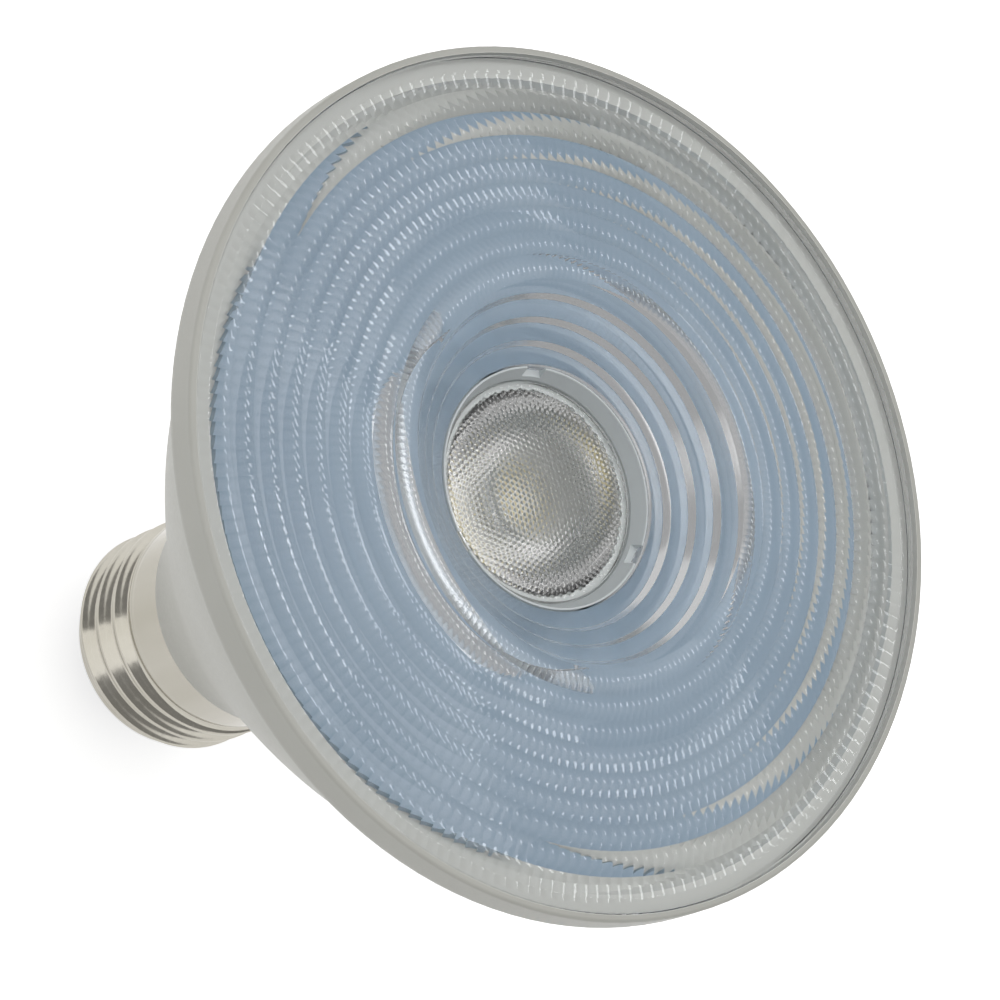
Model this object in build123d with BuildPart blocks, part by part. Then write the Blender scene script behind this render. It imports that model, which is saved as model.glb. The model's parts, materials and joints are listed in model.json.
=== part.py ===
from build123d import *
import os

# Short-neck LED reflector lamp with a screw cap, in millimetres.
# The tip of the centre contact is the origin and the lens faces +Z.

# Overall form
rim_height = 89.0  # tip of the contact to the front edge of the housing
rim_radius = 47.5
rim_band = 3.8  # straight band below the front edge
lip_wall = 0.8  # housing lip around the lens
crease_drop = 9.25  # from the rim to where the cone meets the flare
crease_inset = 4.8
shoulder_drop = 24.7
shoulder_inset = 12.3
waist_height = 45.8
waist_inset = 23.9
neck_radius = 13.6
housing_wall = 1.8
rim_round = 1.6  # corner between the flare and the band
edge_round = 0.4  # moulded edges

# Screw cap, with the standard 27 mm round thread
cap_height = 27.0  # tip of the contact to the housing
thread_crest_radius = 13.15
thread_pitch = 3.629
thread_round = 1.025  # radius of the crests and of the grooves
thread_run_in = 0.275  # pitches from the rounded shoulder to the start of the thread
thread_run_out = 0.145  # pitches from the end of the thread to the top of the groove
cap_groove_radius = 12.1
cap_wall = 0.35
skirt_radius = 12.7
skirt_length = 6.4
skirt_taper = 1.0
cap_bottom = 6.2
cap_mouth_radius = 10.2
contact_radius = 4.6
contact_thickness = 1.4
contact_crown = 0.8
stem_radius = 2.2
rivet_radius = 3.2
rivet_thickness = 0.6
insulator_flange = 1.0
press_gap = 0.1  # between pieces that are pushed together

# Front lens
lens_recess = 0.4  # front edge of the housing to the flat edge of the lens
lens_flange = 2.2  # thickness at the seat
lens_ledge = 2.5  # width of its seat in the housing
lens_wall = 2.4
dome_crown = 2.6  # height of the dome over the rim, on the axis
dome_edge = 0.2  # front edge of the housing to the dome, at the edge of the full rings
bead_count = 8  # rings of full width
bead_inner_radius = 21.2
bead_rise = 0.35
edge_bead = 2.15  # width of the narrower outermost ring
edge_flat = 1.7  # flat edge around the rings
funnel_steps = 4
riser_draft = 0.05
well_radius = 13.5
well_depth = 4.8  # rim to the edge of the well
foot_width = 3.2  # ring of the lens that stands on the backing plate

# Backing plate and centre lens
plate_depth = 6.6  # rim to the face of the plate
plate_thickness = 0.6
plate_inset = 3.9  # from the edge of the lens seat to the plate
plate_overlap = 1.7  # width of the ledge below the plate
ledge_thickness = 0.9
slip_gap = 0.2  # between pieces that are laid in place
collar_wall = 1.0
collar_edge = 0.2  # top of the collar, over its sloped inner wall
collar_step = 0.9  # width of the step that carries the centre lens
clip_count = 3
clip_angle = 38.0
clip_width = 2.4
clip_depth = 1.2
optic_depth = 6.5  # rim to the flange of the centre lens
optic_flange = 1.0
optic_face_radius = 11.2
optic_face_rise = 0.6
optic_foot_radius = 5.2
optic_bulge = 1.0
optic_recess_radius = 4.2
optic_recess_share = 0.42  # depth of the recess over the emitter, as part of the optic's height
optic_recess_rise = 1.2
optic_gap = 0.4  # over the phosphor

# Light source on its heat sink
sink_wall = 1.6
sink_floor = 2.0
pad_thickness = 0.5
board_thickness = 1.6
led_board_radius = 18.5
emitter_side = 11.0
emitter_thickness = 1.0
phosphor_radius = 4.0
phosphor_rise = 0.4
foot_flange = 1.5  # thickness of the holder's foot
screw_count = 3
screw_circle = 15.8
screw_angle = 90.0
screw_radius = 1.2
screw_head_radius = 2.2
screw_head_height = 1.5
screw_slot = 0.6
screw_engagement = 1.6  # length of thread in the heat sink
lead_radius = 0.6
led_lead_spread = 8.5  # from the middle of the board to each LED lead

# Driver
spigot_wall = 1.3
spigot_length = 6.0
spigot_lip = 1.7
spigot_lip_thickness = 1.0
case_wall = 1.0
case_floor = 1.2
case_straight = 3.0  # straight part of the case above the spigot
case_top_radius = 20.0
case_hole_radius = 3.5
board_headroom = 2.1  # from the driver board to the heat sink
board_tail_width = 16.0
driver_board_width = 25.0
core_width = 13.0
core_depth = 10.0
core_leg = 3.0
winding_depth = 9.2
input_can_radius = 4.0
output_can_radius = 5.0
can_groove = 0.35
choke_height = 7.0
choke_flange = 1.0
choke_waist_share = 0.65
chip_length = 5.0
chip_width = 4.0
chip_thickness = 1.5
bridge_length = 5.0
bridge_thickness = 2.0
fuse_radius = 1.2
fuse_length = 6.5
fuse_lift = 2.2
live_rise = 6.0  # straight part of the live lead over the rivet
neutral_drop = 4.0  # straight part of the neutral lead below the case
neutral_slope = 4.0
solder_length = 3.5  # length of a lead that lies on its board

# Places and lengths along the driver board, as parts of its length
tail_share = 0.36
choke_lift_share = 0.3
choke_radius_share = 0.09
bridge_lift_share = 0.48
chip_lift_share = 0.53
input_can_lift_share = 0.13
input_can_length_share = 0.3
output_can_lift_share = 0.6
output_can_length_share = 0.33
core_lift_share = 0.62
core_height_share = 0.3

# Heights that follow from the sizes above
crease_height = rim_height - crease_drop
shoulder_height = rim_height - shoulder_drop
lens_top = rim_height - lens_recess
lens_seat = lens_top - lens_flange
plate_face = rim_height - plate_depth
plate_seat = plate_face - plate_thickness
ledge_under = plate_seat - ledge_thickness
well_edge = rim_height - well_depth
optic_face = rim_height - optic_depth
optic_seat = optic_face - optic_flange
sink_face = shoulder_height + sink_floor
led_board_seat = sink_face + pad_thickness
led_board_face = led_board_seat + board_thickness
emitter_face = led_board_face + emitter_thickness
phosphor_top = emitter_face + phosphor_rise
optic_foot = phosphor_top + optic_gap
holder_foot_face = led_board_face + foot_flange
spigot_bottom = cap_height - spigot_length
case_bottom = spigot_bottom + spigot_lip_thickness
driver_board_foot = case_bottom + case_floor
driver_board_length = shoulder_height - board_headroom - driver_board_foot
skirt_bottom = cap_height - skirt_length
groove_top = skirt_bottom - skirt_taper
cap_shoulder_top = cap_bottom + cap_groove_radius - cap_mouth_radius
thread_start = cap_shoulder_top + thread_run_in * thread_pitch
thread_length = groove_top - thread_run_out * thread_pitch - thread_start
insulator_top = cap_shoulder_top + press_gap + insulator_flange
rivet_top = insulator_top + rivet_thickness

# Radii and slopes that follow from the sizes above
crease_radius = rim_radius - crease_inset
shoulder_radius = rim_radius - shoulder_inset
waist_radius = rim_radius - waist_inset
lens_radius = rim_radius - lip_wall - press_gap
lens_seat_radius = rim_radius - lip_wall - lens_ledge
plate_radius = lens_seat_radius - plate_inset
flare_slope = crease_inset / (crease_drop - rim_band)
pan_radius = crease_radius - housing_wall + flare_slope * (plate_seat - crease_height)
pan_top = crease_height + (lens_seat_radius - crease_radius + housing_wall) / flare_slope
edge_bead_radius = lens_radius - edge_flat
bead_outer_radius = edge_bead_radius - edge_bead
bead_pitch = (bead_outer_radius - bead_inner_radius) / bead_count
foot_radius = well_radius + foot_width
holder_radius = well_radius - slip_gap
holder_bore = holder_radius - collar_wall
holder_lower_bore = holder_bore - collar_step
optic_radius = holder_bore - slip_gap
skirt_bore = skirt_radius - cap_wall
spigot_radius = skirt_bore - press_gap
spigot_bore = spigot_radius - spigot_wall
cap_bore = cap_groove_radius - cap_wall
case_radius = spigot_bore - slip_gap
case_straight_top = cap_height + case_straight
board_half = board_thickness / 2
lead_offset = board_half + lead_radius + press_gap  # leads lie on the front of the driver board
lead_bend = 3 * lead_radius
led_lead_places = [(led_lead_spread, lead_offset), (-led_lead_spread, lead_offset)]


def dome(radius):
    """Height of the lens front at a radius: a shallow paraboloid about the axis."""
    return rim_height + dome_crown - (dome_crown + dome_edge) * (radius / bead_outer_radius) ** 2


# Housing: spigot for the cap, ogee cone, flared rim, and one ledge each for the lens and the plate
with BuildPart() as housing:
    with BuildSketch(Plane.XZ):
        with BuildLine():
            Polyline(
                (neck_radius, cap_height),
                (spigot_radius, cap_height),
                (spigot_radius, spigot_bottom),
                (spigot_bore - spigot_lip, spigot_bottom),
                (spigot_bore - spigot_lip, case_bottom),
                (spigot_bore, case_bottom),
                (spigot_bore, cap_height),
                (neck_radius - housing_wall, cap_height),
            )
            Spline(
                (neck_radius - housing_wall, cap_height),
                (waist_radius - housing_wall, waist_height),
                (shoulder_radius - housing_wall, shoulder_height),
                (crease_radius - housing_wall, crease_height),
            )
            Polyline(
                (crease_radius - housing_wall, crease_height),
                (crease_radius - housing_wall, ledge_under),
                (plate_radius - plate_overlap, ledge_under),
                (plate_radius - plate_overlap, plate_seat),
                (pan_radius, plate_seat),
                (lens_seat_radius, pan_top),
                (lens_seat_radius, lens_seat),
                (rim_radius - lip_wall, lens_seat),
                (rim_radius - lip_wall, rim_height),
                (rim_radius, rim_height),
                (rim_radius, rim_height - rim_band),
                (crease_radius, crease_height),
            )
            Spline(
                (crease_radius, crease_height),
                (shoulder_radius, shoulder_height),
                (waist_radius, waist_height),
                (neck_radius, cap_height),
            )
        flare = make_face()
        flare_corners = flare.vertices().sort_by_distance((rim_radius, rim_height - rim_band))
        fillet(flare_corners[0], rim_round)
    revolve(axis=Axis.Z)
    fillet(housing.edges().group_by(Axis.Z)[-1].sort_by(SortBy.RADIUS)[-1], edge_round)

# Heat sink: pressed aluminium cup under the plate ledge, drilled for the screws and the LED leads
sink_floor_radius = shoulder_radius - housing_wall - slip_gap
sink_top_radius = crease_radius - housing_wall - slip_gap
with BuildPart() as heat_sink:
    with BuildSketch(Plane.XZ):
        with BuildLine():
            Polyline(
                (0, shoulder_height),
                (sink_floor_radius, shoulder_height),
                (sink_top_radius, crease_height),
                (sink_top_radius, ledge_under),
                (sink_top_radius - sink_wall, ledge_under),
                (sink_top_radius - sink_wall, crease_height),
                (sink_floor_radius - sink_wall, sink_face),
                (0, sink_face),
                close=True,
            )
        make_face()
    revolve(axis=Axis.Z)
    with BuildSketch(Plane.XY.offset(shoulder_height)):
        with PolarLocations(screw_circle, screw_count, start_angle=screw_angle):
            Circle(screw_radius + press_gap)
        with Locations(*led_lead_places):
            Circle(lead_radius + slip_gap)
    extrude(amount=sink_floor, mode=Mode.SUBTRACT)

# Thermal pad and LED board: two discs with the same holes
with BuildPart() as thermal_pad:
    with BuildSketch(Plane.XY.offset(sink_face)):
        Circle(led_board_radius)
        with PolarLocations(screw_circle, screw_count, start_angle=screw_angle):
            Circle(screw_radius + press_gap, mode=Mode.SUBTRACT)
        with Locations(*led_lead_places):
            Circle(lead_radius + slip_gap, mode=Mode.SUBTRACT)
    extrude(amount=pad_thickness)

with BuildPart() as led_board:
    with BuildSketch(Plane.XY.offset(led_board_seat)):
        Circle(led_board_radius)
        with PolarLocations(screw_circle, screw_count, start_angle=screw_angle):
            Circle(screw_radius + press_gap, mode=Mode.SUBTRACT)
        with Locations(*led_lead_places):
            Circle(lead_radius + slip_gap, mode=Mode.SUBTRACT)
    extrude(amount=board_thickness)

# Light source: square ceramic base with a domed round of phosphor
with BuildPart() as led_base:
    with BuildSketch(Plane.XY.offset(led_board_face)):
        RectangleRounded(emitter_side, emitter_side, edge_round)
    extrude(amount=emitter_thickness)

with BuildPart() as led_phosphor:
    with BuildSketch(Plane.XZ):
        with BuildLine():
            Line((0, phosphor_top), (0, emitter_face))
            Line((0, emitter_face), (phosphor_radius, emitter_face))
            TangentArc((0, phosphor_top), (phosphor_radius, emitter_face), tangent=(1, 0))
        make_face()
    revolve(axis=Axis.Z)

# Lens holder: foot flange screwed down with the board, and a collar with a sloped mouth, step and clip slots
with BuildPart() as lens_holder:
    with BuildSketch(Plane.XZ):
        with BuildLine():
            Polyline(
                (holder_lower_bore, led_board_face),
                (led_board_radius, led_board_face),
                (led_board_radius, holder_foot_face),
                (holder_radius, holder_foot_face),
                (holder_radius, well_edge),
                (holder_radius - collar_edge, well_edge),
                (holder_bore, optic_face),
                (holder_bore, optic_seat),
                (holder_lower_bore, optic_seat),
                close=True,
            )
        make_face()
    revolve(axis=Axis.Z)
    with BuildSketch(Plane.XY.offset(led_board_face)):
        with PolarLocations(screw_circle, screw_count, start_angle=screw_angle):
            Circle(screw_radius + press_gap)
    extrude(amount=foot_flange, mode=Mode.SUBTRACT)
    with BuildSketch(Plane.XY.offset(well_edge)):
        with PolarLocations(holder_radius, clip_count, start_angle=clip_angle):
            Rectangle(holder_radius - holder_lower_bore, clip_width)
    extrude(amount=-clip_depth, mode=Mode.SUBTRACT)

with BuildPart() as holder_screws:
    with PolarLocations(screw_circle, screw_count, start_angle=screw_angle):
        with Locations((0, 0, holder_foot_face + screw_head_height / 2)):
            Cylinder(screw_head_radius, screw_head_height)
    fillet(holder_screws.faces().group_by(Axis.Z)[-1].edges(), edge_round)
    with BuildSketch(Plane.XY.offset(holder_foot_face + screw_head_height)):
        with PolarLocations(screw_circle, screw_count, start_angle=screw_angle):
            Rectangle(2 * screw_radius, screw_slot)
            Rectangle(screw_slot, 2 * screw_radius)
    extrude(amount=-screw_head_height / 2, mode=Mode.SUBTRACT)
    with BuildSketch(Plane.XY.offset(holder_foot_face)):
        with PolarLocations(screw_circle, screw_count, start_angle=screw_angle):
            Circle(screw_radius)
    extrude(amount=sink_face - screw_engagement - holder_foot_face)

# Centre lens: total-reflection collimator hung by its flange, with a recess over the emitter
optic_waist = (optic_foot + optic_seat) / 2
optic_waist_radius = (optic_foot_radius + holder_lower_bore) / 2 + optic_bulge
recess_top = optic_foot + optic_recess_share * (optic_face - optic_foot)
with BuildPart() as centre_lens:
    with BuildSketch(Plane.XZ):
        with BuildLine():
            ThreePointArc(
                (optic_foot_radius, optic_foot),
                (optic_waist_radius, optic_waist),
                (holder_lower_bore - slip_gap, optic_seat),
            )
            Polyline(
                (holder_lower_bore - slip_gap, optic_seat),
                (optic_radius, optic_seat),
                (optic_radius, optic_face),
                (optic_face_radius, optic_face),
            )
            TangentArc((0, optic_face + optic_face_rise), (optic_face_radius, optic_face), tangent=(1, 0))
            Line((0, optic_face + optic_face_rise), (0, recess_top - optic_recess_rise))
            TangentArc((0, recess_top - optic_recess_rise), (optic_recess_radius, recess_top), tangent=(1, 0))
            Polyline(
                (optic_recess_radius, recess_top),
                (optic_recess_radius, optic_foot),
                (optic_foot_radius, optic_foot),
            )
        make_face()
    revolve(axis=Axis.Z)

# Backing plate: thin disc around the collar
with BuildPart() as backing_plate:
    with BuildSketch(Plane.XY.offset(plate_seat)):
        Circle(plate_radius)
        Circle(holder_radius + slip_gap, mode=Mode.SUBTRACT)
    extrude(amount=plate_thickness)

# Front lens: flat edge, domed field of round beads, smooth funnel, and a back with steps up from its foot
back_rise = (dome_crown + lens_recess + lens_flange - lens_wall) / (dome_crown + dome_edge)
back_outer_radius = bead_outer_radius * back_rise**0.5
back_inner_radius = bead_inner_radius + lens_wall
back_middle_radius = (back_inner_radius + back_outer_radius) / 2
edge_bead_middle = bead_outer_radius + edge_bead / 2
edge_bead_rise = bead_rise * (edge_bead / bead_pitch) ** 2
step_run = (back_inner_radius - riser_draft - foot_radius) / (funnel_steps - 1)
step_rise = (dome(back_inner_radius) - lens_wall - plate_face) / funnel_steps
with BuildPart() as front_lens:
    with BuildSketch(Plane.XZ):
        with BuildLine():
            for bead in range(bead_count):
                inner = bead_inner_radius + bead * bead_pitch
                middle = inner + bead_pitch / 2
                outer = inner + bead_pitch
                ThreePointArc((inner, dome(inner)), (middle, dome(middle) + bead_rise), (outer, dome(outer)))
            ThreePointArc(
                (bead_outer_radius, dome(bead_outer_radius)),
                (edge_bead_middle, dome(edge_bead_middle) + edge_bead_rise),
                (edge_bead_radius, dome(edge_bead_radius)),
            )
            Polyline(
                (bead_inner_radius, dome(bead_inner_radius)),
                (well_radius, well_edge),
                (well_radius, plate_face),
                (foot_radius, plate_face),
            )
            for step in range(funnel_steps):
                riser_radius = foot_radius + step * step_run
                riser_foot = plate_face + step * step_rise
                Line((riser_radius, riser_foot), (riser_radius + riser_draft, riser_foot + step_rise))
            for step in range(1, funnel_steps):
                tread_end = foot_radius + step * step_run
                tread_height = plate_face + step * step_rise
                Line((tread_end - step_run + riser_draft, tread_height), (tread_end, tread_height))
            ThreePointArc(
                (back_inner_radius, dome(back_inner_radius) - lens_wall),
                (back_middle_radius, dome(back_middle_radius) - lens_wall),
                (back_outer_radius, lens_seat),
            )
            Polyline(
                (back_outer_radius, lens_seat),
                (lens_radius, lens_seat),
                (lens_radius, lens_top),
                (edge_bead_radius, lens_top),
                (edge_bead_radius, dome(edge_bead_radius)),
            )
        make_face()
    revolve(axis=Axis.Z)

# Cap shell: rounded shoulder, grooved wall, skirt over the spigot, and the round thread along its helix
with BuildPart() as cap_shell:
    with BuildSketch(Plane.XZ):
        with BuildLine():
            RadiusArc(
                (cap_mouth_radius, cap_bottom),
                (cap_groove_radius, cap_shoulder_top),
                cap_shoulder_top - cap_bottom,
            )
            Polyline(
                (cap_groove_radius, cap_shoulder_top),
                (cap_groove_radius, groove_top),
                (skirt_radius, skirt_bottom),
                (skirt_radius, cap_height),
                (skirt_bore, cap_height),
                (skirt_bore, skirt_bottom),
                (cap_bore, groove_top),
                (cap_bore, cap_shoulder_top),
            )
            RadiusArc(
                (cap_bore, cap_shoulder_top),
                (cap_mouth_radius, cap_bottom + cap_wall),
                -(cap_shoulder_top - cap_bottom - cap_wall),
            )
            Line((cap_mouth_radius, cap_bottom + cap_wall), (cap_mouth_radius, cap_bottom))
        make_face()
    revolve(axis=Axis.Z)
    helix_plane = Plane((0, 0, thread_start), x_dir=(-1, 0, 0), z_dir=(0, 0, 1))
    with BuildLine(helix_plane) as thread_path:
        Helix(thread_pitch, thread_length, cap_groove_radius)
    flank = thread_pitch / 4
    flank_radius = (thread_crest_radius + cap_groove_radius) / 2
    foot = thread_pitch / 2 - cap_wall
    section_plane = Plane((0, 0, thread_start), x_dir=(-1, 0, 0), z_dir=(0, -1, 0))
    with BuildSketch(section_plane) as thread_section:
        with BuildLine():
            ThreePointArc((flank_radius, -flank), (thread_crest_radius, 0), (flank_radius, flank))
            RadiusArc((flank_radius, flank), (cap_groove_radius - cap_wall / 4, foot), thread_round)
            Polyline(
                (cap_groove_radius - cap_wall / 4, foot),
                (cap_groove_radius - cap_wall / 2, foot),
                (cap_groove_radius - cap_wall / 2, -foot),
                (cap_groove_radius - cap_wall / 4, -foot),
            )
            RadiusArc((cap_groove_radius - cap_wall / 4, -foot), (flank_radius, -flank), thread_round)
        make_face()
    sweep(sections=thread_section.sketch, path=thread_path.wire(), is_frenet=True)

# Cap insulator: cone in the mouth of the shell, flanged inside and bored for the contact
insulator_mouth = cap_mouth_radius - press_gap
with BuildPart() as cap_insulator:
    with BuildSketch(Plane.XZ):
        with BuildLine():
            Polyline(
                (stem_radius + press_gap, contact_thickness),
                (contact_radius, contact_thickness),
                (insulator_mouth, cap_bottom - cap_wall),
                (insulator_mouth, insulator_top - insulator_flange),
                (cap_bore - slip_gap, insulator_top - insulator_flange),
                (cap_bore - slip_gap, insulator_top),
                (stem_radius + press_gap, insulator_top),
                close=True,
            )
        make_face()
    revolve(axis=Axis.Z)

# Centre contact: crowned button, stem and rivet head
with BuildPart() as centre_contact:
    with BuildSketch(Plane.XZ):
        with BuildLine():
            TangentArc((0, 0), (contact_radius, contact_crown), tangent=(1, 0))
            Polyline(
                (contact_radius, contact_crown),
                (contact_radius, contact_thickness),
                (stem_radius, contact_thickness),
                (stem_radius, insulator_top),
                (rivet_radius, insulator_top),
                (rivet_radius, rivet_top),
                (0, rivet_top),
                (0, 0),
            )
        make_face()
    revolve(axis=Axis.Z)

# Driver case: insulating cup in the spigot, widening to the heat sink
with BuildPart() as driver_case:
    with BuildSketch(Plane.XZ):
        with BuildLine():
            Polyline(
                (case_hole_radius, case_bottom),
                (case_radius, case_bottom),
                (case_radius, case_straight_top),
                (case_top_radius, shoulder_height),
                (case_top_radius - case_wall, shoulder_height),
                (case_radius - case_wall, case_straight_top),
                (case_radius - case_wall, driver_board_foot),
                (case_hole_radius, driver_board_foot),
                close=True,
            )
        make_face()
    revolve(axis=Axis.Z)

def along_board(share):
    """Height of a place on the driver board, given as a part of the board's length."""
    return driver_board_foot + share * driver_board_length


# Driver board: stands on the case floor, with a tail in the neck
with BuildPart() as driver_board:
    with BuildSketch(Plane.XZ.offset(-board_half)):
        with BuildLine():
            Polyline(
                (-board_tail_width / 2, driver_board_foot),
                (board_tail_width / 2, driver_board_foot),
                (board_tail_width / 2, along_board(tail_share)),
                (driver_board_width / 2, along_board(0.5)),
                (driver_board_width / 2, along_board(1)),
                (-driver_board_width / 2, along_board(1)),
                (-driver_board_width / 2, along_board(0.5)),
                (-board_tail_width / 2, along_board(tail_share)),
                close=True,
            )
        make_face()
    extrude(amount=board_thickness)

# Transformer: ferrite core with three legs, and the taped winding on its middle leg
core_height = core_height_share * driver_board_length
core_middle = along_board(core_lift_share) + core_height / 2
core_axis = board_half + core_depth / 2
with BuildPart() as transformer_core:
    with Locations((0, core_axis, core_middle)):
        Box(core_width, core_depth, core_height)
        Box(core_width - 2 * core_leg, core_depth, core_height - 2 * core_leg, mode=Mode.SUBTRACT)
    with Locations((0, core_axis, core_middle)):
        Cylinder(core_leg / 2, core_height)

with BuildPart() as transformer_winding:
    with BuildSketch(Plane.XY.offset(core_middle - core_height / 2 + core_leg + press_gap)):
        with Locations((0, core_axis)):
            Rectangle(core_width - 2 * core_leg - 2 * press_gap, winding_depth)
            Circle(core_leg / 2 + press_gap, mode=Mode.SUBTRACT)
    extrude(amount=core_height - 2 * core_leg - 2 * press_gap)


def can(radius, lift_share, length_share):
    """Profile of a lying electrolytic can, with the groove rolled near its foot."""
    foot = along_board(lift_share)
    length = length_share * driver_board_length
    groove = foot + 2 * can_groove
    Polyline((0, foot + length), (0, foot), (radius, foot), (radius, groove))
    ThreePointArc(
        (radius, groove),
        (radius - can_groove, groove + can_groove),
        (radius, groove + 2 * can_groove),
    )
    Polyline((radius, groove + 2 * can_groove), (radius, foot + length), (0, foot + length))


# Capacitors: two cans that lie along the back of the board
input_can_plane = Plane.XZ.offset(board_half + input_can_radius)
with BuildPart() as input_capacitor:
    with BuildSketch(input_can_plane):
        with BuildLine():
            can(input_can_radius, input_can_lift_share, input_can_length_share)
        make_face()
    revolve(axis=Axis(input_can_plane.origin, (0, 0, 1)))

output_can_plane = Plane.XZ.offset(board_half + output_can_radius)
with BuildPart() as output_capacitor:
    with BuildSketch(output_can_plane):
        with BuildLine():
            can(output_can_radius, output_can_lift_share, output_can_length_share)
        make_face()
    revolve(axis=Axis(output_can_plane.origin, (0, 0, 1)))

# Choke: drum core standing on the front of the board
choke_radius = choke_radius_share * driver_board_length
choke_plane = Plane((0, board_half, along_board(choke_lift_share)), x_dir=(1, 0, 0), z_dir=(0, 1, 0))
with BuildPart() as choke:
    with BuildSketch(choke_plane):
        Circle(choke_radius)
    extrude(amount=choke_flange)
    with BuildSketch(choke_plane.offset(choke_flange)):
        Circle(choke_waist_share * choke_radius)
    extrude(amount=choke_height - 2 * choke_flange)
    with BuildSketch(choke_plane.offset(choke_height - choke_flange)):
        Circle(choke_radius)
    extrude(amount=choke_flange)

# Chips: rectifier on the front of the board, controller on its back
with BuildPart() as bridge_rectifier:
    with BuildSketch(Plane((0, board_half, along_board(bridge_lift_share)), (1, 0, 0), (0, 1, 0))):
        Rectangle(bridge_length, chip_width)
    extrude(amount=bridge_thickness)
    chamfer(bridge_rectifier.faces().sort_by(Axis.Y)[-1].edges(), edge_round)

with BuildPart() as driver_chip:
    with BuildSketch(Plane((0, -board_half, along_board(chip_lift_share)), (1, 0, 0), (0, -1, 0))):
        Rectangle(chip_length, chip_width)
    extrude(amount=chip_thickness)
    chamfer(driver_chip.faces().sort_by(Axis.Y)[0].edges(), edge_round)

# Fuse resistor: rounded barrel across the foot of the board
fuse_height = driver_board_foot + fuse_lift
fuse_plane = Plane((0, -board_half - fuse_radius, fuse_height), x_dir=(0, 1, 0), z_dir=(1, 0, 0))
with BuildPart() as fuse_resistor:
    with BuildSketch(fuse_plane):
        Circle(fuse_radius)
    extrude(amount=fuse_length / 2, both=True)
    fillet(fuse_resistor.edges().filter_by(GeomType.CIRCLE), edge_round)

# Leads: live to the rivet, neutral to the shell, and two straight ones to the LED board
lead_top = driver_board_foot + solder_length
with BuildPart() as live_lead:
    with BuildLine() as live_path:
        FilletPolyline(
            (0, 0, rivet_top),
            (0, 0, rivet_top + live_rise),
            (lead_offset, lead_offset, case_bottom),
            (lead_offset, lead_offset, lead_top),
            radius=lead_bend,
        )
    with BuildSketch(Plane.XY.offset(rivet_top)):
        Circle(lead_radius)
    sweep(path=live_path.wire())

neutral_turn = case_bottom - neutral_drop
with BuildPart() as neutral_lead:
    with BuildLine() as neutral_path:
        FilletPolyline(
            (-lead_offset, lead_offset, lead_top),
            (-lead_offset, lead_offset, neutral_turn),
            (lead_radius - cap_bore, lead_offset, neutral_turn - neutral_slope),
            radius=lead_bend,
        )
    with BuildSketch(Plane((-lead_offset, lead_offset, lead_top))):
        Circle(lead_radius)
    sweep(path=neutral_path.wire())

led_lead_foot = along_board(1) - solder_length
led_lead_length = led_board_face + lead_radius - led_lead_foot
with BuildPart() as led_lead_positive:
    with BuildSketch(Plane.XY.offset(led_lead_foot)):
        with Locations(led_lead_places[0]):
            Circle(lead_radius)
    extrude(amount=led_lead_length)

with BuildPart() as led_lead_negative:
    with BuildSketch(Plane.XY.offset(led_lead_foot)):
        with Locations(led_lead_places[1]):
            Circle(lead_radius)
    extrude(amount=led_lead_length)

pieces = {
    "housing": housing,
    "heat_sink": heat_sink,
    "front_lens": front_lens,
    "backing_plate": backing_plate,
    "lens_holder": lens_holder,
    "centre_lens": centre_lens,
    "holder_screws": holder_screws,
    "led_phosphor": led_phosphor,
    "led_base": led_base,
    "led_board": led_board,
    "thermal_pad": thermal_pad,
    "driver_case": driver_case,
    "driver_board": driver_board,
    "transformer_core": transformer_core,
    "transformer_winding": transformer_winding,
    "input_capacitor": input_capacitor,
    "output_capacitor": output_capacitor,
    "choke": choke,
    "bridge_rectifier": bridge_rectifier,
    "driver_chip": driver_chip,
    "fuse_resistor": fuse_resistor,
    "live_lead": live_lead,
    "neutral_lead": neutral_lead,
    "led_lead_positive": led_lead_positive,
    "led_lead_negative": led_lead_negative,
    "cap_shell": cap_shell,
    "cap_insulator": cap_insulator,
    "centre_contact": centre_contact,
}
os.makedirs("parts", exist_ok=True)
for name, piece in pieces.items():
    piece.part.label = name
    export_step(piece.part, f"parts/{name}.step")
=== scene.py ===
import json

import bpy
import numpy as np
from mathutils import Matrix, Vector


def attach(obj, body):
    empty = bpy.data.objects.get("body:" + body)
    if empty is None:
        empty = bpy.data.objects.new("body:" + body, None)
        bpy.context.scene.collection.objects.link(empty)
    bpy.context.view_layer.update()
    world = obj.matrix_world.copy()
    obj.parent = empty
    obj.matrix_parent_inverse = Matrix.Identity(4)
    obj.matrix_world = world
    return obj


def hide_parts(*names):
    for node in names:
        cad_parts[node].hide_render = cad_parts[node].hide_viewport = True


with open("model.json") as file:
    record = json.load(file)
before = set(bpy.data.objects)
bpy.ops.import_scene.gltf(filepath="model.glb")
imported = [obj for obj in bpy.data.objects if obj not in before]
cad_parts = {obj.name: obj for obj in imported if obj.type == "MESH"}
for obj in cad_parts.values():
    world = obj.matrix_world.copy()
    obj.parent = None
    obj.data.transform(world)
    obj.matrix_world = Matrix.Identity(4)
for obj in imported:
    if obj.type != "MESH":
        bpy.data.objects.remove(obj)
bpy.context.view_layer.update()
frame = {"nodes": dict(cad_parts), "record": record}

# LED reflector lamp: the solids keep their places, and the two clear lenses and the screw cap get finer
# skins. Lengths are in millimetres up to the point where a mesh is made.
MILLIMETRE = 0.001
TURN = 2 * np.pi

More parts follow.
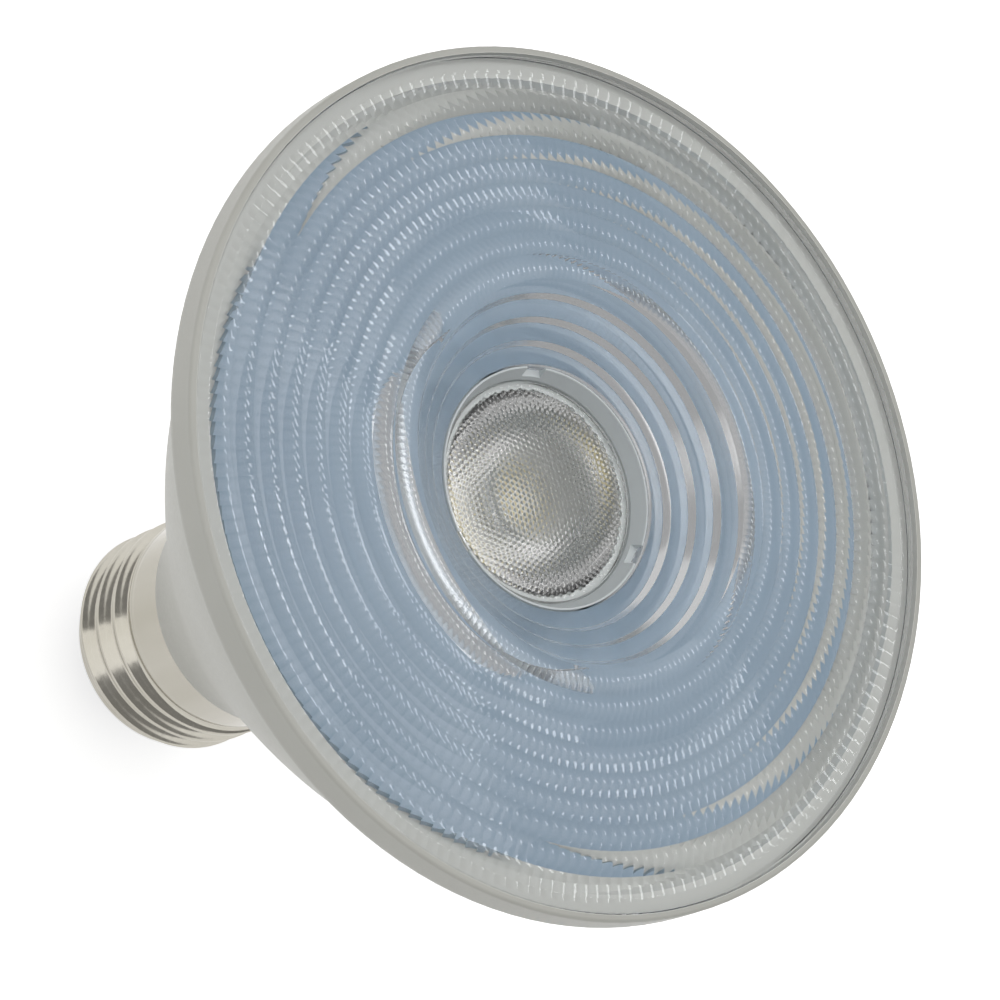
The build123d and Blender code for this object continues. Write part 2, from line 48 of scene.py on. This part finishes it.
# Sizes shared with the solids
RIM = 89.0
LIP_RADIUS = 46.75
CREASE_RADIUS = 42.7
CREASE_HEIGHT = 79.75
FLARE_SLOPE = 0.8807
HALF_WALL = 0.9
LENS_RADIUS = 46.6
LENS_TOP = 88.6
LENS_SEAT = 86.4
EDGE_RADIUS = 44.9
BEAD_OUTER = 42.75
LENS_WALL = 2.4
DOME_CROWN = 2.6
DOME_DROP = 2.8
BEAD_INNER = 21.2
BEADS = 8
WELL_RADIUS = 13.5
WELL_EDGE = 84.2
PLATE_FACE = 82.4
FOOT_RADIUS = 16.7
STEPS = 4
DRAFT = 0.05
OPTIC_RADIUS = 12.1
OPTIC_FACE = 82.5
OPTIC_SEAT = 81.5
OPTIC_FOOT = 70.2
OPTIC_FOOT_RADIUS = 5.2
OPTIC_SHOULDER = 11.2
OPTIC_BULGE = 4.4
OPTIC_CROWN = 0.6
RECESS_RADIUS = 4.2
CAP_BOTTOM = 6.2
CAP_ROUND = 1.9
GROOVE_RADIUS = 12.1
SKIRT_RADIUS = 12.7
CAP_HEIGHT = 27.0
CAP_WALL = 0.35
THREAD_PITCH = 3.629
THREAD_DEPTH = 1.05
THREAD_CREST = 10.0
THREAD_FADE = [7.5, 9.3, 18.4, 20.4]
SKIRT_FLARE = [18.6, 20.6]

# Relief that the solids leave out
FLUTES = 192
PILLOW_RADIUS = 2.6
BUMP_PITCH = 0.65
BUMP_DEPTH = 0.085
BUMP_MARGIN = 0.3
BUMP_FADE = 0.4

# Broken edges, the run from the lens's back to its seat, and the air under a piece that rests on another
BREAK = 0.1
STAIR_BREAK = 0.06
BACK_MARGIN = 0.5
SEAT_GAP = 0.04

# Roughness of the clear plastic
POLISH = 0.02
FACE_POLISH = 0.03
FUNNEL_SATIN = 0.1
STAIR_SATIN = 0.08
OPTIC_SATIN = 0.12

# The part of a noise that is used
NOISE_LOW = 0.3
NOISE_HIGH = 0.7


def skin(name, points, normals, satin=POLISH, poles=False):
    """Mesh over a sheet of points, rows along a profile and columns round the axis: every cell is a quad, and
    the last column joins the first. The last row joins the first, or else each end row is one pole point in a
    fan of triangles. Normals are given per point, or per corner of each cell. A roughness for all rows, or one
    for each, is kept as the attribute "satin"."""
    rows, columns = points.shape[:2]
    rough = np.broadcast_to(np.reshape(satin, (-1, 1)), (rows, columns))
    next_column = np.roll(np.arange(columns), -1)
    here = np.arange(rows * columns).reshape(rows, columns)
    if poles:
        here = here[1:-1] - columns
        cells = np.stack([here[:-1], here[:-1, next_column], here[1:, next_column], here[1:]], axis=-1)
        first = np.full(columns, here.size)
        fan = np.stack([first, here[0, next_column], here[0]], axis=-1)
        cover = np.stack([first + 1, here[-1], here[-1, next_column]], axis=-1)
        faces = cells.reshape(-1, 4).tolist() + fan.tolist() + cover.tolist()
        places = np.concatenate([points[1:-1].reshape(-1, 3), points[:1, 0], points[-1:, 0]])
        normals = np.concatenate([normals[1:-1].reshape(-1, 3), normals[:1, 0], normals[-1:, 0]])
        rough = np.concatenate([rough[1:-1].ravel(), rough[:1, 0], rough[-1:, 0]])
    else:
        above = np.roll(here, -1, axis=0)
        cells = np.stack([here, here[:, next_column], above[:, next_column], above], axis=-1)
        faces = cells.reshape(-1, 4).tolist()
        places = points.reshape(-1, 3)
    mesh = bpy.data.meshes.new(name)
    mesh.from_pydata((places * MILLIMETRE).tolist(), [], faces)
    mesh.polygons.foreach_set("use_smooth", np.ones(len(mesh.polygons), dtype=bool))
    mesh.update()
    mesh.attributes.new("satin", "FLOAT", "POINT").data.foreach_set("value", rough.ravel().astype(np.float32))
    if normals.ndim == 4:
        mesh.normals_split_custom_set(normals.reshape(-1, 3).tolist())
    else:
        mesh.normals_split_custom_set_from_vertices(normals.reshape(-1, 3).tolist())
    piece = bpy.data.objects.new(name, mesh)
    bpy.context.scene.collection.objects.link(piece)
    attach(piece, "root")
    return piece


def on_rings(radii, heights, angles):
    """Points at the given radii and heights (one row each, or one per row and column) at the given angles."""
    radii = np.broadcast_to(radii, (len(radii), len(angles)))
    heights = np.broadcast_to(heights, radii.shape)
    return np.stack([radii * np.cos(angles), radii * np.sin(angles), heights], axis=-1)


def facing(points, poles=False):
    """Unit normals of a sheet of points: the cross product of its central differences across the columns and
    along the rows."""
    across = np.roll(points, -1, axis=1) - np.roll(points, 1, axis=1)
    if poles:
        along = np.gradient(points, axis=0)
    else:
        along = np.roll(points, -1, axis=0) - np.roll(points, 1, axis=0)
    normal = np.cross(across, along)
    size = np.linalg.norm(normal, axis=-1, keepdims=True)
    return normal / np.where(size > 1e-12, size, 1.0)


def dome(radius):
    """Height of the lens front: a crown over the rim on the axis, less a drop that grows with the square of the
    radius."""
    return RIM + DOME_CROWN - DOME_DROP * (radius / BEAD_OUTER) ** 2


def pillow_facing(radius, middle, curved, share, angles):
    """Unit normals of a pillow: its slopes are the dome's slope less the reach from its middle over one radius,
    along the lens radius where the ring is curved that way, and the reach over the same radius along the ring."""
    outward = -2 * DOME_DROP * radius / BEAD_OUTER**2 - curved * (radius - middle) / PILLOW_RADIUS
    along = -share * TURN * radius / FLUTES / PILLOW_RADIUS
    normal = np.stack([
        along * np.sin(angles) - outward * np.cos(angles),
        -along * np.cos(angles) - outward * np.sin(angles),
        np.ones(along.shape),
    ], axis=-1)
    return normal / np.linalg.norm(normal, axis=-1, keepdims=True)


def front_lens():
    """Clear lens, a closed profile turned about the axis: edge wall, flat edge, rings of pillows, smooth funnel,
    foot, stepped and plain back. A pillow rises over the dome by the squares of its half widths less the
    squares of the reaches from its middle, along and across its ring, over twice one radius, so it curves
    alike both ways. In the narrow ring at the edge it curves along the ring only."""
    share = np.array([-0.5, -0.28, 0.0, 0.28])
    flute = np.tile(share, FLUTES)
    flute_end = np.tile(np.append(share[1:], 0.5), FLUTES)
    angles = TURN * (np.arange(FLUTES).repeat(len(share)) + flute) / FLUTES
    edge = np.array([
        [LENS_RADIUS, LENS_SEAT + BREAK],
        [LENS_RADIUS, LENS_TOP - 2 * BREAK],
        [LENS_RADIUS - 2 * BREAK, LENS_TOP],
        [LENS_RADIUS - 3 * BREAK, LENS_TOP],
        [EDGE_RADIUS + 2 * BREAK, LENS_TOP],
        [EDGE_RADIUS + BREAK, LENS_TOP],
    ])
    bounds = np.append(EDGE_RADIUS, np.linspace(BEAD_OUTER, BEAD_INNER, BEADS + 1))
    width = -np.diff(bounds)
    reach = -share
    middle = (bounds[:-1] - width / 2).repeat(len(reach))
    curved = np.append(0.0, np.ones(BEADS)).repeat(len(reach))
    radius = np.append(middle + np.outer(width, reach).ravel(), BEAD_INNER)
    half = np.append(width.repeat(len(reach)), width[-1]) / 2
    flute_half = np.pi * radius / FLUTES
    from_middle = radius - np.append(middle, middle[-1])
    rise = np.append(curved, 1.0) * (half**2 - from_middle**2) / (2 * PILLOW_RADIUS)
    across = np.outer(flute_half**2, 1 - 4 * flute**2) / (2 * PILLOW_RADIUS)
    bead_height = (dome(radius) + rise)[:, None] + across
    way = np.array([0.015, 0.05, 0.1, 0.3, 0.5, 0.7, 0.9, 0.97, 1.0])[:, None]
    funnel = (1 - way) * [BEAD_INNER, dome(BEAD_INNER)] + way * [WELL_RADIUS, WELL_EDGE]
    sole = PLATE_FACE + SEAT_GAP
    foot = np.array([
        [WELL_RADIUS, WELL_EDGE - 2 * BREAK],
        [WELL_RADIUS, sole + BREAK],
        [WELL_RADIUS + BREAK, sole],
    ])
    back_radius = np.linspace(BEAD_INNER + LENS_WALL, BEAD_OUTER - BACK_MARGIN, 9)
    back = np.stack([back_radius, dome(back_radius) - LENS_WALL], axis=1)
    run = (back_radius[0] - DRAFT - FOOT_RADIUS) / (STEPS - 1)
    lift = (back[0, 1] - sole) / STEPS
    corner = np.array([
        [-STAIR_BREAK, 0.0],
        [0.0, STAIR_BREAK],
        [DRAFT, lift - STAIR_BREAK],
        [DRAFT + STAIR_BREAK, lift],
    ])
    riser = [FOOT_RADIUS, sole] + np.arange(STEPS)[:, None] * [run, lift]
    stairs = (riser[:, None] + corner).reshape(-1, 2)
    seat = np.array([[BEAD_OUTER, LENS_SEAT + SEAT_GAP], [LENS_RADIUS - BREAK, LENS_SEAT + SEAT_GAP]])
    plain = np.concatenate([funnel, foot, stairs, back[1:], seat])
    level = np.zeros(len(angles))
    radii = np.concatenate([edge[:, 0], radius, plain[:, 0]])[:, None]
    heights = np.concatenate([edge[:, 1:] + level, bead_height, plain[:, 1:] + level])
    points = on_rings(radii, heights, angles)
    smooth = facing(points)
    ahead = np.roll(smooth, -1, axis=0)
    normals = np.stack([smooth, np.roll(smooth, -1, axis=1), np.roll(ahead, -1, axis=1), ahead], axis=2)
    outer = radius[:-1, None]
    inner = radius[1:, None]
    centre = middle[:, None]
    bent = curved[:, None]
    far = np.roll(angles, -1)
    normals[len(edge):len(edge) + len(middle)] = np.stack([
        pillow_facing(outer, centre, bent, flute, angles),
        pillow_facing(outer, centre, bent, flute_end, far),
        pillow_facing(inner, centre, bent, flute_end, far),
        pillow_facing(inner, centre, bent, flute, angles),
    ], axis=2)
    satin = np.concatenate([
        np.full(len(edge) + len(radius), POLISH),
        np.full(len(funnel) + len(foot), FUNNEL_SATIN),
        np.full(len(stairs), STAIR_SATIN),
        np.full(len(back) - 1 + len(seat), POLISH),
    ])
    piece = skin("front_lens_pillows", points, normals, satin)
    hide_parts("front_lens")
    return piece


def centre_lens():
    """Collimator: a profile turned about the axis, from the middle of its recess to the middle of its face. The
    recess over the light source has a bulging roof. The side is a straight cone plus a parabola's bulge. The face
    is a paraboloid with a hexagonal field of small bumps: the sum of three cosine waves whose directions are a
    sixth of a turn apart, faded out at the edge of the face."""
    columns = 600
    angles = TURN * np.arange(columns) / columns
    recess = np.array([
        [0.0, 74.17],
        [1.4, 74.3],
        [2.8, 74.65],
        [3.9, 75.15],
        [RECESS_RADIUS, 75.3],
        [RECESS_RADIUS, 74.5],
        [RECESS_RADIUS, OPTIC_FOOT + 3 * BREAK],
        [RECESS_RADIUS + BREAK, OPTIC_FOOT],
        [OPTIC_FOOT_RADIUS - BREAK, OPTIC_FOOT],
    ])
    rise = np.linspace(0, 1, 14)
    cone = OPTIC_FOOT_RADIUS + (OPTIC_SHOULDER - OPTIC_FOOT_RADIUS) * rise
    side_height = OPTIC_FOOT + (OPTIC_SEAT - OPTIC_FOOT) * rise
    side = np.stack([cone + OPTIC_BULGE * rise * (1 - rise), side_height], axis=1)
    seat = OPTIC_SEAT + SEAT_GAP
    flange = np.array([
        [OPTIC_SHOULDER + BREAK, seat],
        [OPTIC_RADIUS - BREAK, seat],
        [OPTIC_RADIUS, seat + BREAK],
        [OPTIC_RADIUS, OPTIC_FACE - BREAK],
    ])
    face_radius = np.linspace(OPTIC_RADIUS - BREAK, 0, 130)
    face_height = OPTIC_FACE + OPTIC_CROWN * np.clip(1 - (face_radius / OPTIC_SHOULDER) ** 2, 0, 1)
    radii = np.concatenate([recess[:, 0], side[:, 0], flange[:, 0], face_radius])[:, None]
    heights = np.concatenate([recess[:, 1], side[:, 1], flange[:, 1], face_height])[:, None]
    points = on_rings(radii, heights + np.zeros(len(angles)), angles)
    wave = TURN / (BUMP_PITCH * np.cos(np.pi / 6))
    turns = np.radians([20.0, 80.0, 140.0])
    phase = wave * (points[..., :1] * np.cos(turns) + points[..., 1:2] * np.sin(turns))
    field = np.cos(phase).sum(axis=-1) / 3
    fade = np.clip((OPTIC_RADIUS - BUMP_MARGIN - face_radius) / BUMP_FADE, 0, 1)
    on_face = np.concatenate([np.zeros(len(radii) - len(fade)), fade])[:, None]
    points[..., 2] += BUMP_DEPTH * field * on_face
    satin = np.concatenate([
        np.full(len(radii) - len(face_radius), OPTIC_SATIN),
        np.full(len(face_radius), FACE_POLISH),
    ])
    piece = skin("centre_lens_bumps", points, facing(points, poles=True), satin, poles=True)
    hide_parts("centre_lens")
    return piece


def screw_cap():
    """Sheet-metal cap: the outer wall's radius is a mean plus a rounded wave of height less the angle's share of
    one pitch, so that the crests climb in a helix, faded in at the shoulder and out at the skirt; the inner wall
    lies one sheet thickness inside."""
    columns = 240
    angles = TURN * np.arange(columns) / columns
    shoulder = np.radians(np.linspace(0, 90, 8))
    shoulder_top = CAP_BOTTOM + CAP_ROUND
    low_radius = GROOVE_RADIUS - CAP_ROUND + CAP_ROUND * np.sin(shoulder)
    low_height = shoulder_top - CAP_ROUND * np.cos(shoulder)
    threaded = np.linspace(shoulder_top + BREAK, THREAD_FADE[-1], 110)
    skirt = [20.7, 21.0, 23.0, 25.0, CAP_HEIGHT - BREAK, CAP_HEIGHT]
    rise = np.concatenate([threaded, skirt])
    height = np.concatenate([low_height, rise])
    fade = np.interp(height, THREAD_FADE, [0, 1, 1, 0])[:, None]
    crest_angle = 1.5 * np.pi
    flank = 0.1
    lead = (height[:, None] - THREAD_CREST) / THREAD_PITCH - (angles[None, :] - crest_angle) / TURN
    wave = (np.cos(TURN * lead) + flank * np.cos(3 * TURN * lead)) / (1 + flank)
    rise_radius = np.interp(rise, SKIRT_FLARE, [GROOVE_RADIUS, SKIRT_RADIUS])
    wall = np.concatenate([low_radius, rise_radius])[:, None]
    outer = wall + THREAD_DEPTH / 2 * fade * (1 + wave)
    inner = np.maximum(outer[::-1] - CAP_WALL, GROOVE_RADIUS - CAP_ROUND)
    inner_height = np.maximum(height[::-1], CAP_BOTTOM + CAP_WALL)
    radii = np.concatenate([outer, inner])
    heights = np.concatenate([height, inner_height])[:, None]
    points = on_rings(radii, heights + np.zeros(len(angles)), angles)
    piece = skin("cap_shell_thread", points, facing(points))
    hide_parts("cap_shell")
    return piece


def blank(name):
    """A new material with its node tree, and the shader in it."""
    material = bpy.data.materials.new(name)
    material.use_nodes = True
    tree = material.node_tree
    return material, tree, tree.nodes["Principled BSDF"]


def noise(tree, scale, detail=3.0, stretch=(1, 1, 1)):
    """Noise on Object coordinates, in cells per metre, drawn out along an axis where stretch is below one."""
    place = tree.nodes.new("ShaderNodeTexCoord")
    mapping = tree.nodes.new("ShaderNodeMapping")
    mapping.inputs["Scale"].default_value = stretch
    texture = tree.nodes.new("ShaderNodeTexNoise")
    texture.inputs["Scale"].default_value = scale
    texture.inputs["Detail"].default_value = detail
    tree.links.new(place.outputs["Object"], mapping.inputs["Vector"])
    tree.links.new(mapping.outputs["Vector"], texture.inputs["Vector"])
    return texture.outputs["Fac"]


def spread(tree, value, low, high):
    """The middle part of a noise stretched between two numbers."""
    ramp = tree.nodes.new("ShaderNodeMapRange")
    ramp.inputs["From Min"].default_value = NOISE_LOW
    ramp.inputs["From Max"].default_value = NOISE_HIGH
    ramp.inputs["To Min"].default_value = low
    ramp.inputs["To Max"].default_value = high
    tree.links.new(value, ramp.inputs["Value"])
    return ramp.outputs["Result"]


def tint(tree, value, first, second):
    """A colour that goes from first to second with a noise."""
    ramp = tree.nodes.new("ShaderNodeValToRGB")
    ramp.color_ramp.elements[0].position = NOISE_LOW
    ramp.color_ramp.elements[0].color = (*first, 1)
    ramp.color_ramp.elements[1].position = NOISE_HIGH
    ramp.color_ramp.elements[1].color = (*second, 1)
    tree.links.new(value, ramp.inputs["Fac"])
    return ramp.outputs["Color"]


def grain(tree, shader, value, depth):
    """Bump of the given depth in metres."""
    bump = tree.nodes.new("ShaderNodeBump")
    bump.inputs["Strength"].default_value = 1.0
    bump.inputs["Distance"].default_value = depth
    tree.links.new(value, bump.inputs["Height"])
    tree.links.new(bump.outputs["Normal"], shader.inputs["Normal"])


def solid(name, first, second, rough, gloss=0.5, cloud=60.0, fine=2500.0, depth=0.00001, metal=0.0,
          stretch=(1, 1, 1)):
    """Opaque finish: a cloudy drift between two near colours, an uneven gloss and a fine grain."""
    material, tree, shader = blank(name)
    drift = noise(tree, cloud, stretch=stretch)
    fleck = noise(tree, fine, 2.0, stretch)
    tree.links.new(tint(tree, drift, first, second), shader.inputs["Base Color"])
    tree.links.new(spread(tree, fleck, rough[0], rough[1]), shader.inputs["Roughness"])
    shader.inputs["Metallic"].default_value = metal
    shader.inputs["Specular IOR Level"].default_value = gloss
    grain(tree, shader, fleck, depth)
    return material


def arithmetic(tree, operation, first, second, clamp=False):
    """A Math node on an output, and on a second output or a constant."""
    node = tree.nodes.new("ShaderNodeMath")
    node.operation = operation
    node.use_clamp = clamp
    tree.links.new(first, node.inputs[0])
    if isinstance(second, float):
        node.inputs[1].default_value = second
    else:
        tree.links.new(second, node.inputs[1])
    return node.outputs["Value"]


def housing_finish():
    """Off-white plastic, satin outside, with painted light in the pan under the lens: the base colour there is
    whiter to stand in for light falling into the recess. That is where the place is more than half a wall inside
    the line of the flare, and inside the lip."""
    material = solid("housing off-white, pan painted lighter", (0.45, 0.45, 0.412), (0.485, 0.485, 0.447), (0.38, 0.5), depth=0.000006)
    tree = material.node_tree
    place = tree.nodes.new("ShaderNodeTexCoord")
    height = tree.nodes.new("ShaderNodeSeparateXYZ")
    tree.links.new(place.outputs["Object"], height.inputs["Vector"])
    level = tree.nodes.new("ShaderNodeVectorMath")
    level.operation = "MULTIPLY"
    level.inputs[1].default_value = (1, 1, 0)
    tree.links.new(place.outputs["Object"], level.inputs[0])
    reach = tree.nodes.new("ShaderNodeVectorMath")
    reach.operation = "LENGTH"
    tree.links.new(level.outputs["Vector"], reach.inputs[0])
    radius = reach.outputs["Value"]
    pan_line = (FLARE_SLOPE * CREASE_HEIGHT - CREASE_RADIUS + HALF_WALL) * MILLIMETRE
    line = arithmetic(tree, "MULTIPLY", height.outputs["Z"], FLARE_SLOPE)
    painted_light_in_pan = arithmetic(tree, "GREATER_THAN", arithmetic(tree, "SUBTRACT", line, radius), pan_line)
    painted_light_in_lip = arithmetic(tree, "LESS_THAN", radius, LIP_RADIUS * MILLIMETRE)
    shader = tree.nodes["Principled BSDF"]
    choose = tree.nodes.new("ShaderNodeMix")
    choose.data_type = "RGBA"
    tree.links.new(arithmetic(tree, "MULTIPLY", painted_light_in_pan, painted_light_in_lip), choose.inputs["Factor"])
    tree.links.new(shader.inputs["Base Color"].links[0].from_socket, choose.inputs["A"])
    # Painted light: this whiter base colour in the pan under the lens stands in for light reaching the recess
    choose.inputs["B"].default_value = (0.63, 0.63, 0.59, 1)
    tree.links.new(choose.outputs["Result"], shader.inputs["Base Color"])
    return material


def clear(name, colour, ior):
    """Clear plastic, as rough as its skin says, that lets lamplight through to what it covers."""
    material, tree, shader = blank(name)
    shader.inputs["Base Color"].default_value = (*colour, 1)
    satin = tree.nodes.new("ShaderNodeAttribute")
    satin.attribute_name = "satin"
    tree.links.new(satin.outputs["Fac"], shader.inputs["Roughness"])
    shader.inputs["IOR"].default_value = ior
    shader.inputs["Transmission Weight"].default_value = 1.0
    through = tree.nodes.new("ShaderNodeBsdfTransparent")
    through.inputs["Color"].default_value = (*colour, 1)
    path = tree.nodes.new("ShaderNodeLightPath")
    choose = tree.nodes.new("ShaderNodeMixShader")
    tree.links.new(path.outputs["Is Shadow Ray"], choose.inputs["Fac"])
    tree.links.new(shader.outputs["BSDF"], choose.inputs[1])
    tree.links.new(through.outputs["BSDF"], choose.inputs[2])
    tree.links.new(choose.outputs["Shader"], tree.nodes["Material Output"].inputs["Surface"])
    return material


def wear(piece, material):
    """The piece has this material all over."""
    piece.data.materials.clear()
    piece.data.materials.append(material)


# Finishes
off_white = housing_finish()
lens_clear = clear("lens clear", (0.97, 0.98, 0.985), 1.5)
optic_clear = clear("optic clear", (0.985, 0.985, 0.975), 1.5)
plate_blue = solid("plate blue-grey", (0.33, 0.432, 0.54), (0.345, 0.447, 0.555), (0.65, 0.8), gloss=0.2)
collar_pale = solid("collar pale", (0.57, 0.61, 0.62), (0.61, 0.65, 0.66), (0.35, 0.5))
nickel = solid("nickel plate", (0.42, 0.40, 0.345), (0.47, 0.45, 0.40), (0.12, 0.2), cloud=160.0, fine=1400.0,
               depth=0.000004, metal=1.0, stretch=(1, 1, 0.08))
slot_finish = {
    "housing_plastic": off_white,
    "clear_plastic": lens_clear,
    "blue_plate": plate_blue,
    "collar_plastic": collar_pale,
    "nickel": nickel,
    "insulator_black": solid("insulator dark", (0.012, 0.012, 0.014), (0.02, 0.02, 0.022), (0.12, 0.25)),
    "contact_metal": solid("contact tinned", (0.55, 0.52, 0.46), (0.62, 0.6, 0.54), (0.25, 0.45), metal=1.0),
    "phosphor": solid("phosphor yellow", (0.68, 0.58, 0.27), (0.75, 0.65, 0.33), (0.5, 0.7)),
    "led_ceramic": solid("emitter base white", (0.76, 0.76, 0.74), (0.82, 0.82, 0.8), (0.45, 0.6)),
    "led_board_mask": solid("board mask white", (0.74, 0.74, 0.72), (0.8, 0.8, 0.78), (0.3, 0.45)),
    "pad_grey": solid("pad grey", (0.27, 0.29, 0.33), (0.31, 0.33, 0.37), (0.6, 0.8)),
    "sink_aluminium": solid("sink aluminium", (0.56, 0.57, 0.58), (0.64, 0.65, 0.66), (0.3, 0.5), metal=1.0),
    "screw_steel": solid("screw zinc", (0.46, 0.46, 0.46), (0.54, 0.54, 0.53), (0.25, 0.4), metal=1.0),
    "case_plastic": solid("case white", (0.72, 0.72, 0.69), (0.77, 0.77, 0.74), (0.4, 0.55)),
    "driver_board_green": solid("board green", (0.01, 0.09, 0.025), (0.015, 0.12, 0.035), (0.25, 0.4)),
    "ferrite": solid("ferrite dark", (0.02, 0.02, 0.022), (0.032, 0.032, 0.034), (0.5, 0.7)),
    "winding_tape": solid("winding tape yellow", (0.6, 0.38, 0.025), (0.68, 0.45, 0.04), (0.25, 0.4)),
    "can_sleeve": solid("can sleeve", (0.01, 0.012, 0.03), (0.016, 0.018, 0.04), (0.25, 0.4)),
    "chip_black": solid("chip black", (0.009, 0.009, 0.009), (0.015, 0.015, 0.015), (0.45, 0.6)),
    "resistor_body": solid("resistor coat", (0.16, 0.3, 0.22), (0.19, 0.34, 0.25), (0.35, 0.5)),
    "lead_red": solid("lead red", (0.42, 0.012, 0.008), (0.5, 0.02, 0.012), (0.35, 0.5)),
    "lead_black": solid("lead black", (0.005, 0.005, 0.005), (0.01, 0.01, 0.01), (0.35, 0.5)),
}
for part in frame["record"]["subparts"]:
    wear(frame["nodes"][part["node"]], slot_finish[part["material_slot"]])

wear(front_lens(), lens_clear)
wear(centre_lens(), optic_clear)
wear(screw_cap(), nickel)


# Camera: the lamp's axis leans 38.49 degrees from the line of sight, towards the right and a little up
right = Vector((0.38209847, 0.7233551, 0.57511578))
up = Vector((-0.92412161, 0.29908713, 0.23779431))
back = Vector((0.0, -0.62233776, 0.78274882))
eye = Vector((-0.00069022, -0.34531828, 0.51027622))
camera = bpy.data.objects.new("camera", bpy.data.cameras.new("camera"))
camera.data.lens = 186.307
camera.data.sensor_width = 36.0
camera.data.clip_start = 0.01
camera.data.clip_end = 20.0
turned = Matrix((right, up, back)).transposed()
camera.matrix_world = Matrix.Translation(eye) @ turned.to_4x4()
bpy.context.scene.collection.objects.link(camera)
bpy.context.scene.camera = camera


def softbox(name, aside, above, nearer, width, height, power):
    """Area lamp at the given metres to the right of, above and in front of the lens as the camera sees it."""
    lamp = bpy.data.objects.new(name, bpy.data.lights.new(name, "AREA"))
    lamp.data.shape = "RECTANGLE"
    lamp.data.size = width
    lamp.data.size_y = height
    lamp.data.energy = power
    aim = Vector((0, 0, 0.07))
    place = aim + right * aside + up * above + back * nearer
    lamp.matrix_world = Matrix.Translation(place) @ (place - aim).to_track_quat("Z", "Y").to_matrix().to_4x4()
    bpy.context.scene.collection.objects.link(lamp)
    return lamp


softbox("top box", 0.7, 1.17, 0.62, 2.0, 2.0, 2.9)
softbox("left box", -1.15, 0.1, 1.2, 1.2, 1.2, 5.1)
softbox("right strip", 0.851, 0.352, 0.391, 0.28, 0.08, 0.45)

# Floor: pale, and white where the camera, metal or clear plastic sees it
floor_mesh = bpy.data.meshes.new("floor")
floor_half = 6.0
floor_corners = np.array([[-1, -1, 0], [1, -1, 0], [1, 1, 0], [-1, 1, 0]]) * floor_half
floor_mesh.from_pydata(floor_corners.tolist(), [], [(0, 1, 2, 3)])
floor = bpy.data.objects.new("floor", floor_mesh)
bpy.context.scene.collection.objects.link(floor)
floor_white, floor_tree, floor_shader = blank("floor white")
floor_shader.inputs["Base Color"].default_value = (0.85, 0.85, 0.85, 1)
floor_shader.inputs["Roughness"].default_value = 0.7
floor_path = floor_tree.nodes.new("ShaderNodeLightPath")
seen = floor_path.outputs["Is Camera Ray"]
seen = arithmetic(floor_tree, "ADD", seen, floor_path.outputs["Is Glossy Ray"], clamp=True)
seen = arithmetic(floor_tree, "ADD", seen, floor_path.outputs["Is Transmission Ray"], clamp=True)
floor_lift = arithmetic(floor_tree, "MULTIPLY", seen, 0.65)
floor_shader.inputs["Emission Color"].default_value = (1, 1, 1, 1)
floor_tree.links.new(floor_lift, floor_shader.inputs["Emission Strength"])
wear(floor, floor_white)

# Surroundings: white, dim at the sides and bright overhead
world = bpy.data.worlds.new("studio")
world.use_nodes = True
world_tree = world.node_tree
sky = world_tree.nodes["Background"]
sky.inputs["Color"].default_value = (1, 1, 1, 1)
sky_place = world_tree.nodes.new("ShaderNodeTexCoord")
sky_lean = world_tree.nodes.new("ShaderNodeVectorMath")
sky_lean.operation = "DOT_PRODUCT"
sky_lean.inputs[1].default_value = (0.0, 0.06, 0.998)
sky_grade = world_tree.nodes.new("ShaderNodeMapRange")
sky_grade.interpolation_type = "SMOOTHSTEP"
sky_grade.inputs["From Min"].default_value = 0.7
sky_grade.inputs["From Max"].default_value = 1.0
sky_grade.inputs["To Min"].default_value = 0.36
sky_grade.inputs["To Max"].default_value = 1.6
world_tree.links.new(sky_place.outputs["Generated"], sky_lean.inputs[0])
world_tree.links.new(sky_lean.outputs["Value"], sky_grade.inputs["Value"])
world_tree.links.new(sky_grade.outputs["Result"], sky.inputs["Strength"])
bpy.context.scene.world = world
bpy.context.scene.view_settings.view_transform = "Standard"
